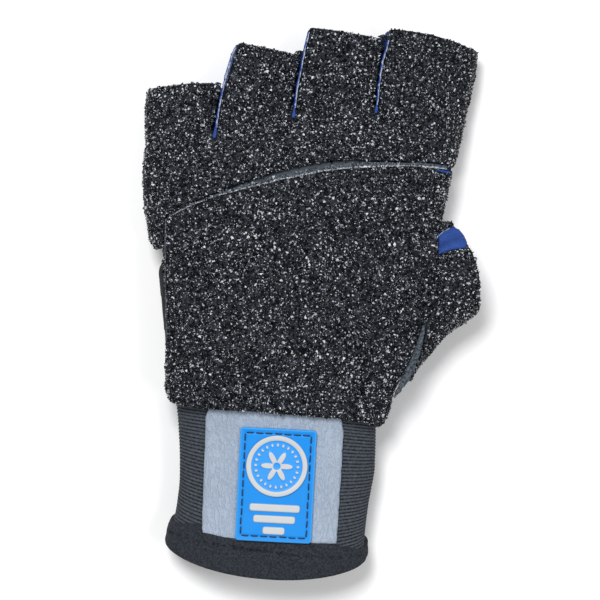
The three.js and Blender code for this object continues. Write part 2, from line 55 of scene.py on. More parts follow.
def soft_light(name, power, place):
    """A square area light at a place, turned towards the glove."""
    lamp = bpy.data.lights.new(name, "AREA")
    lamp.energy = power
    lamp.size = 0.30
    light = bpy.data.objects.new(name, lamp)
    scene.collection.objects.link(light)
    light.location = place
    light.rotation_euler = (Vector((0, 0, 0.02)) - Vector(place)).to_track_quat("-Z", "Y").to_euler()


soft_light("top_light", 8.5, (-0.16, 0.30, 0.95))
soft_light("side_light", 2.6, (0.40, -0.15, 0.85))
world = bpy.data.worlds.new("studio")
world.use_nodes = True
world.node_tree.nodes["Background"].inputs["Color"].default_value = (1, 1, 1, 1)
world.node_tree.nodes["Background"].inputs["Strength"].default_value = 0.34
scene.world = world


class Wire:
    """One output in a finish's nodes. Sums, differences and products of wires add Math nodes, and
    node() adds any other."""

    def __init__(self, tree, socket=None):
        self.tree = tree
        self.socket = socket

    def node(self, kind, out=0, stops=None, sockets=(), **settings):
        """Adds a node: its settings first, then its sockets by name or number, and gives one output."""
        made = self.tree.nodes.new("ShaderNode" + kind)
        for name, value in settings.items():
            setattr(made, name, value)
        if stops:
            ramp = made.color_ramp.elements
            while len(ramp) < len(stops):
                ramp.new(1.0)
            for stop, (position, colour) in zip(ramp, stops):
                stop.position = position
                stop.color = (*colour, 1)
        for name, value in dict(sockets).items():
            if isinstance(value, Wire):
                self.tree.links.new(value.socket, made.inputs[name])
            else:
                made.inputs[name].default_value = value
        return Wire(self.tree, made.outputs[out])

    def math(self, operation, other):
        return self.node("Math", operation=operation, sockets={0: self, 1: other})

    def __add__(self, other):
        return self.math("ADD", other)

    def __sub__(self, other):
        return self.math("SUBTRACT", other)

    def __mul__(self, other):
        return self.math("MULTIPLY", other)

    __radd__ = __add__
    __rmul__ = __mul__

    def held(self, low, high):
        """This wire's value from low to high, as a share from 0 to 1."""
        return self.node("MapRange", sockets={0: self, 1: low, 2: high})

    def attribute(self, name):
        """The value that a piece's points carry under a name."""
        return self.node("Attribute", "Fac", attribute_name=name)

    def noise(self, scale, detail=3.0, rough=0.6):
        """Noise over this place, with so many lumps to a metre."""
        places = {"Vector": self, "Scale": scale, "Detail": detail, "Roughness": rough}
        return self.node("TexNoise", sockets=places)

    def cells(self, scale, out=0):
        """Cells over this place: their distance, or with out=1 a colour to each."""
        return self.node("TexVoronoi", out, sockets={"Vector": self, "Scale": scale})

    def blend(self, a, b):
        """A colour that goes from a to b as this wire goes from 0 to 1."""
        sides = {6: a if isinstance(a, Wire) else (*a, 1), 7: b if isinstance(b, Wire) else (*b, 1)}
        return self.node("Mix", 2, data_type="RGBA", sockets={0: self, **sides})


def new_finish(name, roughness, shine=0.5):
    """A finish, its shader node, and the wire of a piece's own places in metres."""
    finish = bpy.data.materials.new(name)
    finish.use_nodes = True
    shader = finish.node_tree.nodes["Principled BSDF"]
    shader.inputs["Roughness"].default_value = roughness
    shader.inputs["Specular IOR Level"].default_value = shine
    return finish, shader, Wire(finish.node_tree).node("TexCoord", "Object")


def coat(shader, colour, height=None, depth=0.0):
    """Leads a colour in, and a height for the bump, in shares of its depth in metres."""
    tree = shader.id_data
    tree.links.new(colour.socket, shader.inputs["Base Color"])
    if height:
        bump = height.node("Bump", sockets={"Height": height, "Distance": depth, "Strength": 1.0})
        tree.links.new(bump.socket, shader.inputs["Normal"])


# The table that the glove lies on: plain, pale and matt.
bpy.ops.mesh.primitive_plane_add(size=6, location=(0, 0, 0))
table_top = bpy.context.object
table_top.name = "table_top"
table_finish, shader, place = new_finish("table", 0.9)
coat(shader, place.noise(40).blend((0.93, 0.935, 0.94), (0.95, 0.953, 0.957)))
table_top.data.materials.append(table_finish)


# The cuff: a knitted elastic tube, ribbed round and round, whose upper end is sewn inside the hand.
# It dips in rings towards its end, where the wrist goes in.
def piece_from(name, points, faces, finish, slot, stands_for=None, smooth=True, **values):
    """A piece from an array of points and one of faces, with each named value to each point. It
    takes the place of the CAD node that it stands for."""
    mesh = bpy.data.meshes.new(name)
    points = np.asarray(points, dtype=np.float64)
    faces = np.asarray(faces, dtype=np.int32)
    sides = faces.shape[1]
    mesh.vertices.add(len(points))
    mesh.vertices.foreach_set("co", points.ravel())
    mesh.loops.add(faces.size)
    mesh.loops.foreach_set("vertex_index", faces.ravel())
    mesh.polygons.add(len(faces))
    mesh.polygons.foreach_set("loop_start", np.arange(len(faces), dtype=np.int32) * sides)
    mesh.polygons.foreach_set("use_smooth", np.full(len(faces), smooth))
    mesh.update(calc_edges=True)
    for key, value in values.items():
        mesh.attributes.new(key, "FLOAT", "POINT").data.foreach_set("value", np.asarray(value, np.float32))
    mesh.materials.append(finish)
    made = bpy.data.objects.new(name, mesh)
    scene.collection.objects.link(made)
    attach(made, "root")
    if stands_for:
        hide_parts(stands_for)
    return made


CUFF_WALL = 0.002
RIB = 0.00112
CUFF_PLACES = ("y", "x", "half", "thick", "middle", "floor", "turn", "bow", "lean")
CUFF_RINGS = np.array([  # in mm and degrees, from the cuff's end to inside the hand
    (-85.42, -15.63, 34.3, 14.58, 14.19, 1.22, -5.0, -0.12, -0.27),
    (-76.92, -14.23, 33.4, 14.16, 14.05, 1.49, -5.5, -0.10, -0.22),
    (-66.92, -12.90, 33.4, 13.75, 14.31, 2.16, -6.0, -0.07, -0.16),
    (-55.92, -11.85, 34.5, 13.48, 14.85, 2.97, -6.5, -0.04, -0.08),
    (-44.92, -11.99, 35.0, 13.48, 15.66, 3.78, -7.0, 0.0, 0.0),
    (-34.50, -12.55, 35.8, 13.94, 16.74, 4.40, -7.5, 0.0, 0.0),
    (-29.57, -11.67, 37.9, 14.11, 16.91, 4.40, -6.0, 0.0, 0.0),
])


def cuff_ring(y):
    """The cuff's sizes at places along it, read off the table with its corners rounded over 6 mm."""
    spread = np.linspace(-0.003, 0.003, 7)
    past = 0.02
    scales = dict(turn=math.pi / 180, bow=1, lean=1)
    ring = {}
    for column, name in enumerate(CUFF_PLACES):
        runs = CUFF_RINGS[:, 0] / 1000
        values = CUFF_RINGS[:, column] * scales.get(name, 0.001)
        slope = np.diff(values) / np.diff(runs)
        runs = np.r_[runs[0] - past, runs, runs[-1] + past]
        values = np.r_[values[0] - slope[0] * past, values, values[-1] + slope[-1] * past]
        ring[name] = np.mean([np.interp(y + step, runs, values) for step in spread], axis=0)
    return ring


def cuff_point(y, side, grow, over):
    """The cuff's surface moved out by grow: side is the share of the half width, from -1 to 1, and
    over is 1 on top and -1 underneath, where it is flat. A ring bows and leans along the cuff."""
    ring = cuff_ring(y)
    rise = over * (1 - np.abs(side) ** 2.5) ** 0.4 * (ring["thick"] + grow)
    z = np.maximum(ring["floor"] - grow, ring["middle"] + rise)
    across = side * (ring["half"] + grow)
    swell = ring["bow"] * ring["half"] * (1 - np.minimum(1, (across / ring["half"]) ** 2))
    ahead = swell + ring["lean"] * (z - ring["middle"])
    cos, sin = np.cos(ring["turn"]), np.sin(ring["turn"])
    x, y = ring["x"] + across * cos - ahead * sin, ring["y"] + across * sin + ahead * cos
    return np.stack([x, y, z], axis=-1)


def flattened(wave, power):
    """A wave between -1 and 1 with its size raised to a power: under 1, its crests grow flat."""
    return np.sign(wave) * np.abs(wave) ** power


def round_the_cuff(count):
    """Shares of the half width round one ring, and which half of the ring each is on."""
    angle = np.arange(count) * 2 * math.pi / count
    return flattened(np.cos(angle), 0.8), np.where(np.sin(angle) < 0, -1.0, 1.0)


def grid_faces(rows, columns, round_rows=False, round_columns=False):
    """The quads of a grid of points, which may close on itself either way."""
    row = np.arange(rows if round_rows else rows - 1)[:, None]
    column = np.arange(columns if round_columns else columns - 1)[None, :]
    ahead, beside = (row + 1) % rows, (column + 1) % columns
    here, there = row * columns, ahead * columns
    corners = [here + column, here + beside, there + beside, there + column]
    return np.stack(corners, axis=-1).reshape(-1, 4)


def rib(y):
    """Ribs along the cuff: round on top, with a narrow valley between two."""
    return np.abs(np.sin(math.pi * y / RIB)) ** 0.6


CUFF_END, CUFF_TOP = -0.0860, -0.0325
INNER_ROWS = 40
side, over = round_the_cuff(120)
outer_y = np.arange(CUFF_END, CUFF_TOP, RIB / 5)[:, None]
inner_y = np.linspace(CUFF_TOP, CUFF_END, INNER_ROWS)[:, None]
outer = cuff_point(outer_y, side[None], 0.00040 * (rib(outer_y) - 0.7), over[None])
inner = cuff_point(inner_y, side[None], np.full_like(inner_y, -CUFF_WALL), over[None])
cuff_points = np.concatenate([outer, inner])
rows = len(cuff_points)
knit, shader, place = new_finish("rib_knit", 0.95, 0.2)
crest = place.attribute("crest")
fibres = place.noise(1500, 3.0)
loops = place.cells(1100)
# The rib crests are painted lighter and the valleys between them darker: painted light and shade on the
# ribs, over the knit's own random tone.
coat(
    shader,
    (fibres * 0.9 + loops * 0.3 + crest * 0.7).held(0.72, 1.5).blend(
        (0.003, 0.0035, 0.0045), (0.080, 0.094, 0.115)),
    fibres * 0.5 + loops * 0.5,
    0.0004,
)
crest_share = np.concatenate([rib(outer_y) + 0 * side[None], np.full((INNER_ROWS, len(side)), 0.5)])
piece_from(
    "knitted_cuff",
    cuff_points.reshape(-1, 3),
    grid_faces(rows, len(side), True, True),
    knit,
    "knit",
    "cuff",
    crest=crest_share.ravel(),
)


# The hem: a smooth soft band folded round the cuff's end and sewn down. Its upper edge stands
# proud of the knit, and a faint line of stitches runs round it.
HEM_PROUD = 0.0012
HEM_EDGE = np.array([  # share of the half width, and how far along the cuff the upper edge lies
    (-1.0, -0.0796), (-0.8, -0.0766), (-0.4, -0.0742), (0.0, -0.0738),
    (0.5, -0.0760), (0.85, -0.0800), (1.0, -0.0826),
])
BAND_ROWS = 26
side, over = round_the_cuff(160)
edge_y = np.where(over > 0, np.interp(side, HEM_EDGE[:, 0], HEM_EDGE[:, 1]), -0.0803 - 0.0008 * side)
fold_y = -0.0879
band = np.linspace(0, 1, BAND_ROWS)[:, None]
curl = np.linspace(0, math.pi, 11)[1:-1, None]
roll = 0.0014
around = 0 * side[None]


def by_the_seam(width):
    """1 on the line of stitches round the hem, falling off to both sides over a width."""
    return np.exp(-(((band - 0.42) * 0.0105) / width) ** 2)


puff = 0.00035 * np.sin(math.pi * band) ** 0.5 + 0.0001 * np.sin(band * 9 + side[None] * 21)
flat_y = edge_y[None] + (fold_y + roll - edge_y)[None] * (0.03 + 0.97 * band)
flat_grow = HEM_PROUD + puff - 0.00010 * by_the_seam(0.00045)
curl_y = fold_y + roll - roll * np.sin(curl)
half_wall = (HEM_PROUD + CUFF_WALL) / 2
curl_grow = HEM_PROUD - half_wall + half_wall * np.cos(curl)
back_y = fold_y + roll + (0.012 * np.linspace(0, 1, 8)[1:, None])
back_grow = np.full_like(back_y, -CUFF_WALL - 0.0002)
hem_y = np.concatenate([edge_y[None] + 0.0001, edge_y[None], flat_y, curl_y + around, back_y + around])
hem_grow = np.concatenate([
    around - 0.0004, around + HEM_PROUD * 0.45, flat_grow, curl_grow + around, back_grow + around])
hem_points = cuff_point(hem_y, side[None], hem_grow, over[None])
hem_points[..., 2] = np.maximum(hem_points[..., 2], 0.0)
hem_cloth, shader, place = new_finish("hem_cloth", 0.92, 0.2)
nap = place.noise(1400, 4.0, 0.8)
seam = place.attribute("seam")
coat(
    shader,
    ((nap - 0.5) * 2.6 + (place.noise(420) - 0.5) * 0.3 + 0.45 - seam * 0.3).held(0.0, 1.0).blend(
        (0.004, 0.005, 0.0065), (0.046, 0.055, 0.070)),
    nap,
    0.0004,
)
seam_share = np.zeros(hem_points.shape[:2])
seam_share[2:2 + BAND_ROWS] = by_the_seam(0.0004) * (np.sin(side[None] * 70) > -0.3)
piece_from(
    "cuff_hem_band",
    hem_points[::-1].reshape(-1, 3),
    grid_faces(len(hem_points), len(side), False, True),
    hem_cloth,
    "hem",
    "cuff_hem",
    seam=seam_share[::-1].ravel(),
)


# The wrist patch: pale blue-grey leather with slightly ragged cut edges, sewn on the cuff and tucked
# under the hand's panel. Fine creases run down it.
def over_cuff(x, y, grow):
    """Heights of the cuff's top, moved out by grow, above places in plan: the place along the cuff
    is corrected until the ring through it passes over the place."""
    along = y.copy()
    for _ in range(12):
        ring = cuff_ring(along)
        cos, sin = np.cos(ring["turn"]), np.sin(ring["turn"])
        across = (x - ring["x"]) * cos + (y - ring["y"]) * sin
        side = np.clip(across / (ring["half"] + grow), -1, 1)
        along = along + (y - cuff_point(along, side, grow, 1.0)[..., 1]) * 0.8
    return cuff_point(along, side, grow, 1.0)[..., 2]


def plate_faces(rows, columns):
    """The quads of a closed plate: a grid of points for its top, the same grid turned over for its
    back, and a wall all round the border."""
    index = np.arange(rows * columns).reshape(rows, columns)
    border = np.concatenate([index[0], index[1:, -1], index[-1, -2::-1], index[-2:0:-1, 0]])
    after = np.roll(border, -1)
    count = rows * columns
    wall = np.stack([border + count, after + count, after, border], axis=-1)
    faces = grid_faces(rows, columns)
    return np.concatenate([faces, faces[:, ::-1] + count, wall])


def laid_plate(x, y, lower, upper):
    """A closed plate over a grid of places in plan, from one height over the cuff to another."""
    top = np.stack([x, y, over_cuff(x, y, upper)], axis=-1).reshape(-1, 3)
    back = np.stack([x, y, over_cuff(x, y, lower)], axis=-1).reshape(-1, 3)
    return np.concatenate([top, back]), plate_faces(*x.shape)


def from_edge(rows, columns, width, height):
    """The distance of each point of a grid from the plate's border, in metres."""
    u = np.linspace(0, 1, columns)[None]
    v = np.linspace(0, 1, rows)[:, None]
    return np.minimum(np.minimum(u, 1 - u) * width, np.minimum(v, 1 - v) * height)


LEFT = np.array([(-0.0380, -0.0806), (-0.0366, -0.0402), (-0.0349, -0.0354)])
RIGHT = np.array([(0.0089, -0.0843), (0.0113, -0.0450), (0.0106, -0.0417), (0.0100, -0.0385)])
BOTTOM = np.array([(-0.0380, -0.0806), (-0.0258, -0.0828), (0.0089, -0.0843)])
TOP = np.array([(-0.0349, -0.0354), (0.0036, -0.0369), (0.0100, -0.0385)])


def run_along(line, share):
    """Places along a line of corners, by share of its length."""
    steps = np.r_[0, np.cumsum(np.hypot(*np.diff(line, axis=0).T))]
    return np.stack([np.interp(share * steps[-1], steps, line[:, axis]) for axis in (0, 1)], axis=-1)


def between(left, right, bottom, top, rows, columns):
    """A grid between four edges: the mean of the sides and of the ends, less that of the corners."""
    u = np.linspace(0, 1, columns)[None, :, None]
    v = np.linspace(0, 1, rows)[:, None, None]
    sides = (1 - u) * run_along(left, v[:, 0, 0])[:, None] + u * run_along(right, v[:, 0, 0])[:, None]
    ends = (1 - v) * run_along(bottom, u[0, :, 0])[None] + v * run_along(top, u[0, :, 0])[None]
    corners = (
        (1 - u) * (1 - v) * left[0] + u * (1 - v) * right[0] + (1 - u) * v * left[-1] + u * v * right[-1]
    )
    return sides + ends - corners


rng = np.random.default_rng(5)


def ragged(count, depth, rng):
    """A wandering line: random steps of a depth, each the mean of three."""
    steps = np.convolve(rng.normal(size=count + 6), np.ones(3) / 3, "same")[3:-3]
    return steps * depth


PATCH_ROWS = 84
grid = between(LEFT, RIGHT, BOTTOM, TOP, PATCH_ROWS, PATCH_ROWS)
depth = from_edge(PATCH_ROWS, PATCH_ROWS, 0.047, 0.047)
grid[:, 0, 0] += ragged(PATCH_ROWS, 0.00008, rng)
grid[:, -1, 0] += ragged(PATCH_ROWS, 0.00013, rng)
grid[0, :, 1] += ragged(PATCH_ROWS, 0.00008, rng)
upper = 0.0016 - 0.0004 * (1 - np.minimum(1, depth / 0.0007)) ** 2
points, faces = laid_plate(grid[..., 0], grid[..., 1], np.full_like(upper, 0.0002), upper)
leather, shader, place = new_finish("split_leather", 0.62)
slanted = place.node("Mapping", sockets={0: place, 2: (0, 0, 0.9), 3: (1, 0.35, 1)})
folds_and_crease_shade = slanted.node("Math", operation="ABSOLUTE", sockets={0: slanted.noise(620) - 0.5}).held(0, 0.10)
pores = place.noise(1300, 4.0, 0.7)
# The fold lines are painted a little darker than the leather round them: painted shade in the creases,
# beside their bump.
coat(
    shader,
    (pores * 0.7 + folds_and_crease_shade * 0.12 + place.noise(60) * 0.4).held(0.3, 1.0).blend(
        (0.214, 0.267, 0.345), (0.390, 0.463, 0.570)),
    folds_and_crease_shade * 0.45 + pores * 0.75,
    0.00032,
)
patch_piece = piece_from("wrist_leather", points, faces, leather, "leather", "wrist_patch")


# The label: a plate of azure soft rubber with a fine raised rim and a sunk channel, in which navy
# thread sews it to the patch. A round pale badge and three plain bars are moulded on it.
LABEL = dict(width=0.0265, length=0.0393, corner=0.0012, x=-0.01220, y=-0.06362, turn=-3.0)
LABEL_TOP = 0.0034
EMBLEM_UP = 0.17 * LABEL["length"]


def on_label(u, v):
    """Places in plan of points on the label, given from its middle."""
    turn = math.radians(LABEL["turn"])
    x = LABEL["x"] + u * math.cos(turn) - v * math.sin(turn)
    return x, LABEL["y"] + u * math.sin(turn) + v * math.cos(turn)


def rounded_grid(width, height, corner, rows, columns):
    """A grid over a rectangle whose corners are drawn in to quarter circles."""
    u = np.linspace(-1, 1, columns)[None] * width / 2 + np.zeros((rows, 1))
    v = np.linspace(-1, 1, rows)[:, None] * height / 2 + np.zeros((1, columns))
    du = np.maximum(np.abs(u) - width / 2 + corner, 0)
    dv = np.maximum(np.abs(v) - height / 2 + corner, 0)
    reach = np.maximum(np.hypot(du, dv), 1e-9)
    share = np.maximum(du, dv) / reach
    return u - np.sign(u) * du * (1 - share), v - np.sign(v) * dv * (1 - share)


rows, columns = 120, 84
label_size = LABEL["width"], LABEL["length"]
u, v = rounded_grid(*label_size, LABEL["corner"], rows, columns)
depth = from_edge(rows, columns, *label_size)
INSET = 0.00185  # of the sewn channel from the border
rim = 0.00014 * np.exp(-(((depth - 0.00035) / 0.00025) ** 2))
channel = 0.00030 * np.exp(-(((depth - INSET) / 0.00028) ** 2))
edge = 0.0005 * (1 - np.minimum(1, depth / 0.0004)) ** 2
x, y = on_label(u, v)
points, faces = laid_plate(x, y, np.full_like(x, 0.0017), LABEL_TOP + rim - channel - edge)
blue_rubber, shader, place = new_finish("blue_rubber", 0.5, 0.15)
mould = place.noise(5200, 2.0)
rim_highlight = place.attribute("rim")
# The plate is painted paler at its border: a painted highlight along the raised rim.
coat(
    shader,
    (rim_highlight * 0.7 + place.noise(90) * 0.12).held(0, 1).blend((0.002, 0.215, 0.66), (0.10, 0.42, 0.84)),
    mould,
    0.00003,
)
rim_highlight_share = np.exp(-(((depth - 0.0001) / 0.0003) ** 2)).ravel()
piece_from(
    "blue_label", points, faces, blue_rubber, "rubber", "label_plate", rim=np.r_[rim_highlight_share, rim_highlight_share]
)


def stitches(middles, headings, length, radius, height):
    """A run of stitches as one mesh: each is a thread that dips into the plate at both ends. middles
    and headings are in plan, height is the thread's crown over the cuff."""
    rows, sides = 9, 6
    along = np.linspace(-1, 1, rows)[None, :, None]
    around = np.arange(sides)[None, None, :] * 2 * math.pi / sides
    thick = radius * np.sqrt(np.maximum(1 - along**4, 0.02))
    beside = thick * np.cos(around)
    rise = height - 0.0006 * np.abs(along) ** 3 + thick * np.sin(around)
    forward = along * length / 2 + 0 * around
    hx, hy = headings[:, 0, None, None], headings[:, 1, None, None]
    px = middles[:, 0, None, None] + forward * hx - beside * hy
    py = middles[:, 1, None, None] + forward * hy + beside * hx
    pz = over_cuff(px, py, np.zeros_like(px) + height) - height + rise
    points = np.stack([px, py, pz], axis=-1).reshape(-1, 3)
    tube = grid_faces(rows, sides, False, True)
    caps = np.array([[0, 5, 4, 3], [0, 3, 2, 1], [48, 49, 50, 51], [48, 51, 52, 53]])
    one = np.concatenate([tube, caps])
    starts = (np.arange(len(middles)) * rows * sides)[:, None, None]
    return points, (one[None] + starts).reshape(-1, 4)


inner_w, inner_h = LABEL["width"] / 2 - INSET, LABEL["length"] / 2 - INSET
across_count, up_count = 7, 11
us = (np.arange(across_count) + 0.5) / across_count * 2 - 1
vs = (np.arange(up_count) + 0.5) / up_count * 2 - 1
mid_u = np.r_[us * inner_w, us * inner_w, np.full(up_count, -inner_w), np.full(up_count, inner_w)]
mid_v = np.r_[np.full(across_count, inner_h), np.full(across_count, -inner_h), vs * inner_h, vs * inner_h]
mid_u = mid_u + rng.normal(size=mid_u.shape) * 0.00005
mid_v = mid_v + rng.normal(size=mid_v.shape) * 0.00005
turn = math.radians(LABEL["turn"])
tilt = rng.normal(size=mid_u.shape) * 0.03
flat = np.r_[np.zeros(2 * across_count), np.full(2 * up_count, math.pi / 2)] + turn + tilt
middles = np.stack(on_label(mid_u, mid_v), axis=-1)
headings = np.stack([np.cos(flat), np.sin(flat)], axis=-1)
navy, shader, place = new_finish("navy_thread", 0.6)
ply = place.noise(4200, 2.0)
coat(shader, ply.blend((0.006, 0.008, 0.022), (0.02, 0.025, 0.06)), ply, 0.00005)
points, faces = stitches(middles, headings, length=0.0031, radius=0.00025, height=LABEL_TOP + 0.00008)
piece_from("label_stitches", points, faces, navy, "rubber")


def badge_height(u, v, radius):
    """The badge's relief: a raised border, a ring of beads and a six-petalled rosette on a sunk field.
    The rosette's outline is a circle that swells six times. Gives the height and how blue it is."""
    reach = np.hypot(u, v) / radius
    angle = np.arctan2(v, u)
    petal = 0.40 + 0.20 * np.cos(6 * angle)
    rosette = 1 / (1 + np.exp((reach - petal * 0.86) * 60))
    eye = 1 / (1 + np.exp((reach - 0.12) * 60))
    border = 1 / (1 + np.exp((0.84 - reach) * 60))
    beads = 1 / (1 + np.exp((np.hypot((reach - 0.69) / 0.055, np.sin(12 * angle) / 0.62) - 1) * 9))
    pale = np.clip(border + rosette - eye + beads, 0, 1)
    edge = 0.35 * (1 - np.minimum(1, (1 - reach) / 0.03).clip(0, 1)) ** 2
    return 0.00035 * pale - 0.0004 * edge, 1 - pale


def end_fans(rows, sides):
    """Triangles that close a tube of rows of points at both ends, each towards one more point: the
    first end's comes right after the tube's own points, and then the last end's."""
    ring = np.arange(sides)
    after = (ring + 1) % sides
    count = rows * sides
    first = np.stack([np.full(sides, count), ring, after], axis=-1)
    last = np.stack([np.full(sides, count + 1), count - sides + after, count - sides + ring], axis=-1)
    return np.concatenate([first, last])


BADGE_RADIUS, BADGE_UP = 0.0106, LABEL_TOP + 0.0005
rings, spokes = 70, 240
reach = np.linspace(0, 1, rings)[:, None] * BADGE_RADIUS
angle = np.arange(spokes)[None] * 2 * math.pi / spokes
u, v = reach * np.cos(angle), reach * np.sin(angle)
relief, ink = badge_height(u, v, BADGE_RADIUS)
x, y = on_label(u, v + EMBLEM_UP)
top = np.stack([x, y, over_cuff(x, y, BADGE_UP + relief)], axis=-1)
foot = np.stack([x[-1], y[-1], over_cuff(x[-1], y[-1], np.full(spokes, LABEL_TOP + 0.0001))], axis=-1)
centre = top[0, :1]
low = centre - [0, 0, 0.0006]
points = np.concatenate([top[1:].reshape(-1, 3), foot, centre, low])
ring_faces = grid_faces(rings, spokes, False, True)[:, ::-1]
triangles = np.concatenate([ring_faces[:, [0, 1, 2]], ring_faces[:, [0, 2, 3]], end_fans(rings, spokes)])
pale_rubber, shader, place = new_finish("pale_rubber", 0.5)
moulding = place.noise(4000, 2.0)
ink_value = place.attribute("ink")
pale = (moulding * 0.4 + place.noise(150) * 0.6).blend((0.42, 0.44, 0.45), (0.52, 0.54, 0.55))
coat(shader, ink_value.held(0.4, 0.6).blend(pale, (0.004, 0.25, 0.72)), moulding, 0.00003)
piece_from(
    "label_badge", points, triangles, pale_rubber, "emblem", "label_emblem",
    ink=np.r_[ink[1:].ravel(), np.zeros(spokes), ink[0, 0], 0],
)
STRIPE_HEIGHT, STRIPE_GRID = 0.00265, (14, 70)
for number, (share, up) in enumerate([(0.66, -0.20), (0.55, -0.30), (0.29, -0.40)], start=1):
    width = share * LABEL["width"]
    u, v = rounded_grid(width, STRIPE_HEIGHT, STRIPE_HEIGHT / 3, *STRIPE_GRID)
    depth = from_edge(*STRIPE_GRID, width, STRIPE_HEIGHT)
    x, y = on_label(u, v + up * LABEL["length"])
    crown = LABEL_TOP + 0.00055 - 0.0003 * (1 - np.minimum(1, depth / 0.0004)) ** 2
    points, faces = laid_plate(x, y, np.full_like(x, LABEL_TOP - 0.0001), crown)
    piece_from(
        f"label_stripe_{number}", points, faces, pale_rubber, "emblem", f"label_bar_{number}",
        ink=np.zeros(len(points)),
    )


# The body: thin smooth cloth, in a front and a rear half, that lines the whole glove. It shows as
# the slate strips between the grip panels, the dark side and the inside of every mouth.
def corners_of(node):
    """The points and triangles of a CAD node, taken from a copy: points at one place, to a
    thousandth of a millimetre, become one, and triangles that are double or lose a corner go."""
    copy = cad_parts[node].data.copy()
    points = np.empty(len(copy.vertices) * 3)
    copy.vertices.foreach_get("co", points)
    copy.calc_loop_triangles()
    triangles = np.empty(len(copy.loop_triangles) * 3, dtype=np.int32)
    copy.loop_triangles.foreach_get("vertices", triangles)
    bpy.data.meshes.remove(copy)
    unique, home = np.unique(np.round(points.reshape(-1, 3), 6), axis=0, return_inverse=True)
    triangles = home.ravel()[triangles].reshape(-1, 3)
    single = np.unique(np.sort(triangles, axis=1), axis=0, return_index=True)[1]
    triangles = triangles[np.sort(single)]
    a, b, c = triangles.T
    return unique, triangles[(a != b) & (b != c) & (c != a)]


def finely(node, voxel):
    """A CAD node's form meshed again in even squares of a size, as arrays of its points and quads."""
    points, faces = corners_of(node)
    mesh = bpy.data.meshes.new(node)
    mesh.from_pydata(points, [], faces)
    holder = bpy.data.objects.new(node, mesh)
    scene.collection.objects.link(holder)
    remesh = holder.modifiers.new("even", "REMESH")
    remesh.mode = "VOXEL"
    remesh.voxel_size = voxel
    bpy.context.view_layer.update()
    even = bpy.data.meshes.new_from_object(holder.evaluated_get(bpy.context.evaluated_depsgraph_get()))
    points = np.empty(len(even.vertices) * 3)
    even.vertices.foreach_get("co", points)
    quads = np.empty(len(even.loops), dtype=np.int32)
    even.loops.foreach_get("vertex_index", quads)
    bpy.data.objects.remove(holder)
    bpy.data.meshes.remove(even)
    return points.reshape(-1, 3), quads.reshape(-1, 4)


INWARD, OUTWARD = 0.5, -0.52


def relaxed(points, quads, rounds):
    """Each point moves half way to the mean of its neighbours and then a little further back, again
    and again, so that the facets' kinks melt and the form keeps its size."""
    edges = np.concatenate([quads[:, [a, (a + 1) % 4]] for a in range(4)])
    edges = np.unique(np.sort(edges, axis=1), axis=0)
    both = np.concatenate([edges, edges[:, ::-1]])
    degree = np.bincount(both[:, 0], minlength=len(points))[:, None]
    for step in [INWARD, OUTWARD] * rounds:
        total = [np.bincount(both[:, 0], points[both[:, 1], axis], len(points)) for axis in range(3)]
        points = points + step * (np.stack(total, axis=-1) / degree - points)
    return points


cloth, shader, place = new_finish("body_cloth", 0.85, 0.15)
weave = place.noise(3000, 2.0)
slate = place.node("SeparateXYZ", "X", sockets={0: place}).held(-0.046, -0.042)
dark = weave.blend((0.006, 0.007, 0.008), (0.020, 0.022, 0.025))
coat(shader, slate.blend(dark, weave.blend((0.040, 0.052, 0.068), (0.085, 0.105, 0.13))), weave, 0.00008)
SEAM = np.array([  # how far along the hand, and the height at which the two halves meet, in mm
    (-60, 13.94), (41.9, 13.94), (68.1, 10.88), (120.6, 10.2),
])
SEAM_REACH, SEAM_DRAW, SEAM_LAP = 0.003, 0.0015, 0.0003


def drawn_to_seam(points, side):
    """A half's points, with those near the join drawn to it, the nearest the furthest, so that the
    two halves lap a little. side is 1 for the front half, over the join, and -1 for the rear."""
    seam = np.interp(points[:, 1] * 1000, *SEAM.T) / 1000
    near = np.clip(1 - np.abs(points[:, 2] - seam) / SEAM_REACH, 0, 1)
    height = side * (points[:, 2] - seam) - SEAM_DRAW * near
    points[:, 2] = np.where(near > 0, seam + side * np.maximum(height, -SEAM_LAP), points[:, 2])
    return points


for node, side in (("body_front", 1), ("body_rear", -1)):
    points, quads = finely(node, 0.0012)
    points = drawn_to_seam(relaxed(points, quads, 6), side)
    points[:, 2] = np.maximum(points[:, 2], 0)
    piece_from(node + "_cloth", points, quads, cloth, "fabric", node)


# The side walls: blue suede strips let in between the fingers and from the index finger's root to
# the thumb's mouth. Their cut edges are paler.
suede, shader, place = new_finish("blue_suede", 0.9, 0.2)
nap = place.noise(2400, 3.0)
fibre = (nap * 0.8 + place.noise(260) * 0.4).held(0.35, 0.85)
hide = fibre.blend((0.010, 0.035, 0.150), (0.035, 0.085, 0.34))
edge = place.attribute("edge")
streak = place.noise(650, 2.0)
cut_hide = fibre.blend((0.16, 0.19, 0.27), (0.52, 0.56, 0.63))
coat(shader, (edge + (streak - 0.5) * 1.5).held(0.46, 0.60).blend(hide, cut_hide), nap, 0.00012)
surface = {}  # the points of each wall and panel by node, for the edges that are laid on them
for node in ("finger_wall_1", "finger_wall_2", "finger_wall_3", "thumb_wall"):
    points, quads = finely(node, 0.0006)
    points = relaxed(points, quads, 5)
    surface[node] = points
    piece_from(node + "_suede", points, quads, suede, "suede", node, edge=np.zeros(len(points)))


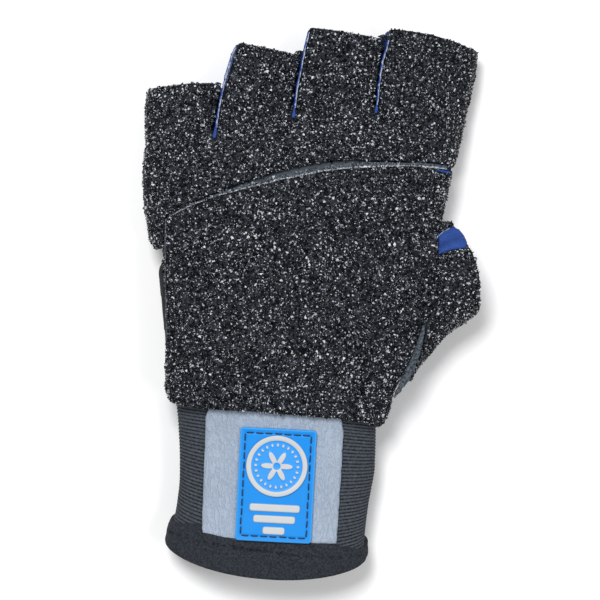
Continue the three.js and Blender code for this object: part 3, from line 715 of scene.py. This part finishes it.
# The grip panels: thick foam-backed cloth whose whole face is covered with coarse black rubber
# crumbs, glued on by the thousand. Their edges are cut and show the slate backing.
def outwards(points, normals, thumb):
    """How far each face looks away from the middle line of the thumb, or from the flat middle of the
    hand, which widens towards the fingers: the cosine between its normal and the way out of there."""
    if thumb:
        root, mouth = np.array([0.027, -0.0023, 0.017]), np.array([0.0537, 0.0134, 0.0185])
        share = np.clip(((points - root) @ (mouth - root)) / ((mouth - root) @ (mouth - root)), 0, 1)
        core = root + share[:, None] * (mouth - root)
    else:
        core = points.copy()
        core[:, 0] = np.clip(points[:, 0], -0.041, 0.036 + 0.06 * np.clip(points[:, 1], 0, 0.1))
        core[:, 2] = 0.0175
    away = points - core
    away /= np.linalg.norm(away, axis=1)[:, None] + 1e-9
    return np.sum(away * normals, axis=1)


def quad_frames(points, quads):
    """Middles, normals and areas of quads."""
    a, b, c, d = (points[quads[:, corner]] for corner in range(4))
    cross = np.cross(c - a, d - b)
    size = np.linalg.norm(cross, axis=1)
    return (a + b + c + d) / 4, cross / (size[:, None] + 1e-12), size / 2


CRUMB = np.array([(1, 0, 0), (-0.5, 0.87, 0), (-0.5, -0.87, 0), (0, 0, 1), (0, 0, -1)])
CRUMB_FACES = np.array([(0, 1, 3), (1, 2, 3), (2, 0, 3), (1, 0, 4), (2, 1, 4), (0, 2, 4)])


def crumbs(points, quads, outer, per_area, rng, held=1.0):
    """Crumbs scattered over the outer faces as one mesh, by area, where held is 1: each is a
    six-faced shard, stretched, turned at random and sunk a little into the panel. Gives points,
    faces and the points' tone: the crumb's own grey, with a little more or less at each corner. Its
    palest values are painted glints, and the change from corner to corner paints single facets
    brighter than the rest."""
    _, normals, areas = quad_frames(points, quads)
    weight = areas * np.clip((outer - 0.15) / 0.3, 0, 1) * held
    count = int(weight.sum() * per_area)
    chosen = rng.choice(len(quads), count, p=weight / weight.sum())
    u, v = rng.random((2, count, 1))
    a, b, c, d = (points[quads[chosen, corner]] for corner in range(4))
    spot = (a * (1 - u) + b * u) * (1 - v) + (d * (1 - u) + c * u) * v
    radius = 0.00017 + 0.00038 * rng.random(count) ** 2.7
    spot = spot + normals[chosen] * (radius * rng.uniform(0.0, 0.65, count))[:, None]
    turn = rng.normal(size=(count, 4))
    turn /= np.linalg.norm(turn, axis=1)[:, None]
    w, i, j, k = turn.T
    rotation = np.stack([
        1 - 2 * (j * j + k * k), 2 * (i * j - k * w), 2 * (i * k + j * w),
        2 * (i * j + k * w), 1 - 2 * (i * i + k * k), 2 * (j * k - i * w),
        2 * (i * k - j * w), 2 * (j * k + i * w), 1 - 2 * (i * i + j * j),
    ], axis=-1).reshape(-1, 3, 3)
    corners = len(CRUMB)
    lump = CRUMB[None] * rng.uniform(0.65, 1.3, (count, corners, 1))
    lump = lump * rng.uniform(0.45, 1.55, (count, 1, 3)) + rng.normal(size=(count, corners, 3)) * 0.14
    placed = spot[:, None] + np.einsum("nij,nkj->nki", rotation, lump * radius[:, None, None])
    faces = CRUMB_FACES[None] + (np.arange(count) * corners)[:, None, None]
    # Each corner's tone strays from its crumb's, so that single facets are painted brighter: painted
    # glints.
    shade = np.repeat(rng.random(count), corners) + 0.24 * rng.normal(size=count * corners)
    return placed.reshape(-1, 3), faces.reshape(-1, 3), np.clip(shade, 0, 1)


rubber, shader, place = new_finish("rubber_crumbs", 0.3, 0.22)
shade = place.attribute("shade")
broken = place.noise(3400, 4.0, 0.65)
# The ramp's pale end stands partly for paler crumbs and partly for glints: painted highlights on the
# crumbs' facets.
tone = shade.node("ValToRGB", sockets={0: shade}, stops=[
    (0.0, (0.001, 0.0012, 0.002)), (0.30, (0.004, 0.0047, 0.0065)), (0.54, (0.015, 0.017, 0.022)),
    (0.69, (0.068, 0.077, 0.097)), (0.80, (0.26, 0.285, 0.33)), (0.91, (0.66, 0.70, 0.76)),
    (1.0, (0.93, 0.95, 0.98)),
])
dimmed = {0: 1.0, 6: tone, 7: (0.40, 0.40, 0.40, 1)}
dim = tone.node("Mix", 2, data_type="RGBA", blend_type="MULTIPLY", sockets=dimmed)
coat(shader, broken.held(0.25, 0.75).blend(dim, tone), broken, 0.00012)
backing, shader, place = new_finish("panel_backing", 0.85, 0.1)
cut = place.attribute("cut")
grit = place.noise(1500, 4.0, 0.75)
speck = place.cells(1250, 1)
deep = (grit * 0.7 + speck.node("SeparateColor", sockets={0: speck}) * 0.4).held(0.45, 0.9).blend(
    (0.002, 0.0022, 0.003), (0.048, 0.054, 0.068))
coat(shader, (cut * (0.55 + 0.9 * grit)).held(0.35, 0.7).blend(deep, (0.040, 0.045, 0.052)), grit, 0.0005)

SLITS = [  # the line of each slit between two fingers, in mm in plan, from its root to the mouth
    [(-33.8, 56.6), (-33.4, 59.0), (-32.0, 68.8), (-29.9, 79.3), (-27.7, 86.3), (-26.4, 89.2)],
    [(-6.3, 63.8), (-6.0, 65.5), (-5.5, 69.0), (-4.8, 75.2), (-3.3, 82.2), (-2.0, 89.2), (-0.6, 94.6)],
    [(22.6, 65.4), (22.9, 67.5), (23.7, 75.0), (24.8, 83.0), (26.4, 88.5), (27.3, 91.6)],
]
KNUCKLES = [(-49.9, 29.2), (-46.4, 31.0), (-42.2, 33.2), (-32.8, 36.7), (-22.2, 39.6), (-10.6, 42.6),
            (4.9, 45.8), (14.0, 46.9), (27.3, 47.4), (40.8, 47.3), (48.2, 46.4)]
PANEL_SIDE = [(-50.2, 29.0), (-50.6, 20.0), (-50.5, 10.0), (-50.3, 0.0), (-50.0, -14.0)]
THUMB_STRIP = [(39.4, -5.0), (38.6, -11.0), (36.7, -17.7), (34.9, -22.6), (32.9, -26.8), (30.7, -30.3),
               (28.6, -33.6)]
CLEAR = {  # the lines on each panel that no crumb lies by, and how near, in metres
    "finger_grip": [(line, 0.00085) for line in SLITS],
    "rear_grip": [(line, 0.00085) for line in SLITS],
    "thumb_grip_front": [([(44.0, 18.5), (54.0, 20.5)], 0.0016)],
    "hand_grip": [(KNUCKLES, 0.0006), (PANEL_SIDE, 0.0004)],
}


def away_from(places, line):
    """The distance in plan of each place from a line of corners, in metres."""
    corners = np.array(line) / 1000
    best = np.full(len(places), 1.0)
    for a, b in zip(corners[:-1], corners[1:]):
        share = np.clip(((places[:, :2] - a) @ (b - a)) / ((b - a) @ (b - a)), 0, 1)
        best = np.minimum(best, np.linalg.norm(places[:, :2] - a - share[:, None] * (b - a), axis=1))
    return best


def smoothed(values, reach):
    """The running mean of a row of values over so many places to each side, the end ones held."""
    count = 2 * reach + 1
    return np.convolve(np.pad(values, reach, mode="edge"), np.ones(count) / count, "valid")


WELT_ROWS, WELT_SIDES = 90, 14


def welt(line, width, lift, depth, surfaces, reach=0.0013, shift=(0, 0)):
    """A flat cord along a line in plan, as wide as its table says, in mm, and laid at the smoothed
    height of the highest points near it, or beside it by a shift: an oval section swept along and
    closed at both ends. Gives points, triangles and how far across the cord each point lies, from -1
    on the left to 1 on the right."""
    share = np.linspace(0, 1, WELT_ROWS)
    path = run_along(np.array(line) / 1000, share)
    near = path + np.array(shift) / 1000
    gaps = np.hypot(*(near[:, None] - surfaces[None, :, :2]).transpose(2, 0, 1))
    top = np.where(gaps < reach, surfaces[:, 2], 0.008).max(axis=1)
    top = smoothed(top, 6) + lift
    path = np.stack([smoothed(places, 3) for places in path.T], axis=-1)
    heading = np.gradient(path, axis=0)
    heading /= np.linalg.norm(heading, axis=1)[:, None]
    right = np.stack([heading[:, 1], -heading[:, 0]], axis=-1)
    half = np.interp(share, *np.array(width).T) / 2000
    half = half * (1 + 0.16 * ragged(WELT_ROWS, 1.0, rng))
    path = path + right * ragged(WELT_ROWS, 0.00009, rng)[:, None]
    angle = np.arange(WELT_SIDES) * 2 * math.pi / WELT_SIDES
    cross = flattened(np.cos(angle), 0.7)
    rise = flattened(np.sin(angle), 0.7)
    flat = path[:, None] + right[:, None] * (half[:, None] * cross)[..., None]
    rough = 0.00008 * rng.normal(size=(WELT_ROWS, WELT_SIDES))
    z = top[:, None] - depth / 2 + rise[None] * depth / 2 + rough
    tube = np.concatenate([flat, z[..., None]], axis=-1)
    quads = grid_faces(WELT_ROWS, WELT_SIDES, False, True)
    caps = end_fans(WELT_ROWS, WELT_SIDES)[:, ::-1]
    points = np.concatenate([tube.reshape(-1, 3), tube[[0, -1]].mean(axis=1)])
    faces = np.concatenate([quads[:, [0, 2, 1]], quads[:, [0, 3, 2]], caps])
    return points, faces, np.r_[np.tile(cross, WELT_ROWS), 0, 0]


PANELS = [  # node, mesh size, crumbs to a square mm, whether round the thumb
    ("hand_grip", 0.0012, 4.0, False),
    ("finger_grip", 0.00070, 4.0, False),
    ("thumb_grip_front", 0.00080, 4.0, True),
    ("thumb_grip_rear", 0.00080, 3.4, True),
    ("rear_grip", 0.0014, 1.1, False),
]
for number, (node, voxel, density, thumb) in enumerate(PANELS):
    rng = np.random.default_rng(40 + number)
    points, quads = finely(node, voxel)
    points = relaxed(points, quads, 10)
    points[:, 2] = np.maximum(points[:, 2], 0)
    if node == "thumb_grip_front":  # its tail is squashed towards the thumb
        over_tail = np.minimum(points[:, 1] + 0.0255, 0) * 0.6
        points[:, 1] -= over_tail
        points[:, 0] -= over_tail * 0.9
    middles, normals, areas = quad_frames(points, quads)
    outer = outwards(middles, normals, thumb)
    total = np.zeros(len(points))
    for corner in range(4):
        total += np.bincount(quads[:, corner], outer, len(points))
    count = np.bincount(quads.ravel(), minlength=len(points))
    cut = 1 - np.clip(total / count / 0.55, 0, 1)
    panel = piece_from(node + "_panel", points, quads, backing, "grip", node, cut=cut)
    surface[node] = points
    held = np.all([away_from(middles, line) > reach for line, reach in CLEAR.get(node, [])], axis=0)
    lumps, faces, shade = crumbs(points, quads, outer, density * 1e6, rng, held)
    lumps[:, 2] = np.maximum(lumps[:, 2], 0.00005)
    piece_from(node + "_crumbs", lumps, faces, rubber, "grip", smooth=False, shade=shade)


# The cut edges: the blue side walls' edges, folded up in the slits and sewn to the panels, the hand
# panel's ragged pale edge along the knuckles and down the left side, and the slate strip by the
# thumb. A flap of the thumb's side wall closes off its panel, under a crumbed edge.
rng = np.random.default_rng(9)
# Near its root each slit's edge is left all blue, without its pale side, so that end is darker.
clear_of_root = np.r_[np.repeat(np.linspace(0, 1, WELT_ROWS), WELT_SIDES), 0, 0] > 0.12
for number, line in enumerate(SLITS, start=1):
    points, faces, across = welt(
        line, [(0, 0.9), (0.05, 1.3), (0.11, 0.75), (1, 0.7)], 0.0002, 0.0016,
        surface["finger_grip"], shift=(1.1, 0))
    piece_from(f"slit_edge_{number}", points, faces, suede, "suede", edge=(0.50 + across * 0.38) * clear_of_root)
fray, shader, place = new_finish("frayed_cloth", 0.9, 0.15)
tuft = place.noise(1300, 4.0, 0.8)
edge = place.attribute("edge")
coat(
    shader,
    (edge + (tuft - 0.5) * 1.5).held(0.58, 0.80).blend(
        tuft.held(0.38, 0.62).blend((0.010, 0.013, 0.018), (0.115, 0.138, 0.165)),
        tuft.held(0.38, 0.62).blend((0.18, 0.21, 0.24), (0.82, 0.87, 0.92))),
    tuft,
    0.0004,
)
points, faces, across = welt(
    KNUCKLES, [(0, 0.5), (0.12, 0.7), (0.25, 1.2), (0.45, 1.9), (0.72, 2.0), (0.85, 1.3), (1, 1.4)],
    0.0001, 0.0018, surface["hand_grip"], shift=(0, -1.3))
piece_from("knuckle_edge", points, faces, fray, "fabric", edge=np.clip(0.35 + across * 0.65, 0, 1))
quads = faces[:, [0, 1, 2, 2]]
middles, normals, areas = quad_frames(points, quads)
lumps, faces, shade = crumbs(points, quads, normals[:, 2], 3e6, rng, middles[:, 0] < 0.038)
piece_from("knuckle_lint", lumps, faces, rubber, "grip", smooth=False, shade=0.52 + 0.36 * shade)
points, faces, across = welt(
    [(43.4, 45.5), (48.7, 44.9)], [(0, 0.6), (1, 0.9)], 0.0003, 0.0012,
    surface["hand_grip"], shift=(0, -1.0))
piece_from("knuckle_wall_edge", points, faces, suede, "suede", edge=0.26 + 0.2 * across)
points, faces, across = welt(
    PANEL_SIDE, [(0, 0.5), (1, 0.4)], 0.0002, 0.001, surface["hand_grip"], shift=(1.0, 0))
piece_from("panel_side_edge", points, faces, fray, "fabric", edge=0.45 + 0 * across)
points, faces, across = welt(
    THUMB_STRIP, [(0, 0.7), (0.17, 1.4), (0.35, 2.2), (0.6, 2.6), (0.8, 2.2), (1, 0.8)], -0.0008, 0.0020,
    surface["hand_grip"], shift=(-2.0, 0), reach=0.002)
piece_from("thumb_strip", points, faces, fray, "fabric", edge=0.1 * across)
FLAP_LEFT = np.array([(44.1, 16.2), (44.1, 22.7)]) / 1000
FLAP_RIGHT = np.array([(53.7, 18.6), (54.2, 20.4), (53.4, 23.0), (51.8, 25.2)]) / 1000
FLAP_BOTTOM = np.array([(44.1, 16.2), (48.6, 17.8), (53.7, 18.6)]) / 1000
FLAP_TOP = np.array([(44.1, 22.7), (46.4, 24.9), (49.4, 26.2), (51.8, 25.2)]) / 1000
FLAP_ROWS, NEAREST = 26, 14
grid = between(FLAP_LEFT, FLAP_RIGHT, FLAP_BOTTOM, FLAP_TOP, FLAP_ROWS, FLAP_ROWS)
under = np.concatenate([surface["thumb_wall"], surface["thumb_grip_front"]])
under = under[under[:, 2] > 0.014]
gaps = np.hypot(*(grid.reshape(-1, 1, 2) - under[None, :, :2]).transpose(2, 0, 1))
nearest = np.argpartition(gaps, NEAREST, axis=1)[:, :NEAREST]
height = under[nearest, 2].max(axis=1).reshape(FLAP_ROWS, FLAP_ROWS)
for _ in range(14):  # each height becomes the mean of its own and its neighbours'
    framed = np.pad(height, 1, mode="edge")
    beside = framed[:-2, 1:-1] + framed[2:, 1:-1] + framed[1:-1, :-2] + framed[1:-1, 2:]
    height = (beside + framed[1:-1, 1:-1]) / 5
depth = from_edge(FLAP_ROWS, FLAP_ROWS, 0.010, 0.008)
height = height + 0.0008 - 0.0008 * (1 - np.minimum(1, depth / 0.0012)) ** 2
top = np.concatenate([grid, height[..., None]], axis=-1).reshape(-1, 3)
flap_points = np.concatenate([top, top - [0, 0, 0.0012]])
share = np.linspace(0, 1, FLAP_ROWS)
trim = (share[:, None] > 0.93) * (share[None] < 0.62) * 0.8
piece_from(
    "thumb_wall_flap", flap_points, plate_faces(FLAP_ROWS, FLAP_ROWS), suede, "suede",
    edge=np.tile(trim.ravel(), 2))
points, faces, across = welt(
    [(44.3, 24.8), (46.8, 26.5), (49.6, 27.3)], [(0, 2.8), (0.5, 2.8), (1, 1.4)], 0.0006, 0.003,
    surface["thumb_wall"], reach=0.002)
piece_from("thumb_rear_edge", points, faces, backing, "grip", cut=0 * across)
quads = faces[:, [0, 1, 2, 2]]
lumps, faces, shade = crumbs(points, quads, np.ones(len(quads)), 4e6, rng)
piece_from("thumb_rear_edge_crumbs", lumps, faces, rubber, "grip", smooth=False, shade=shade)
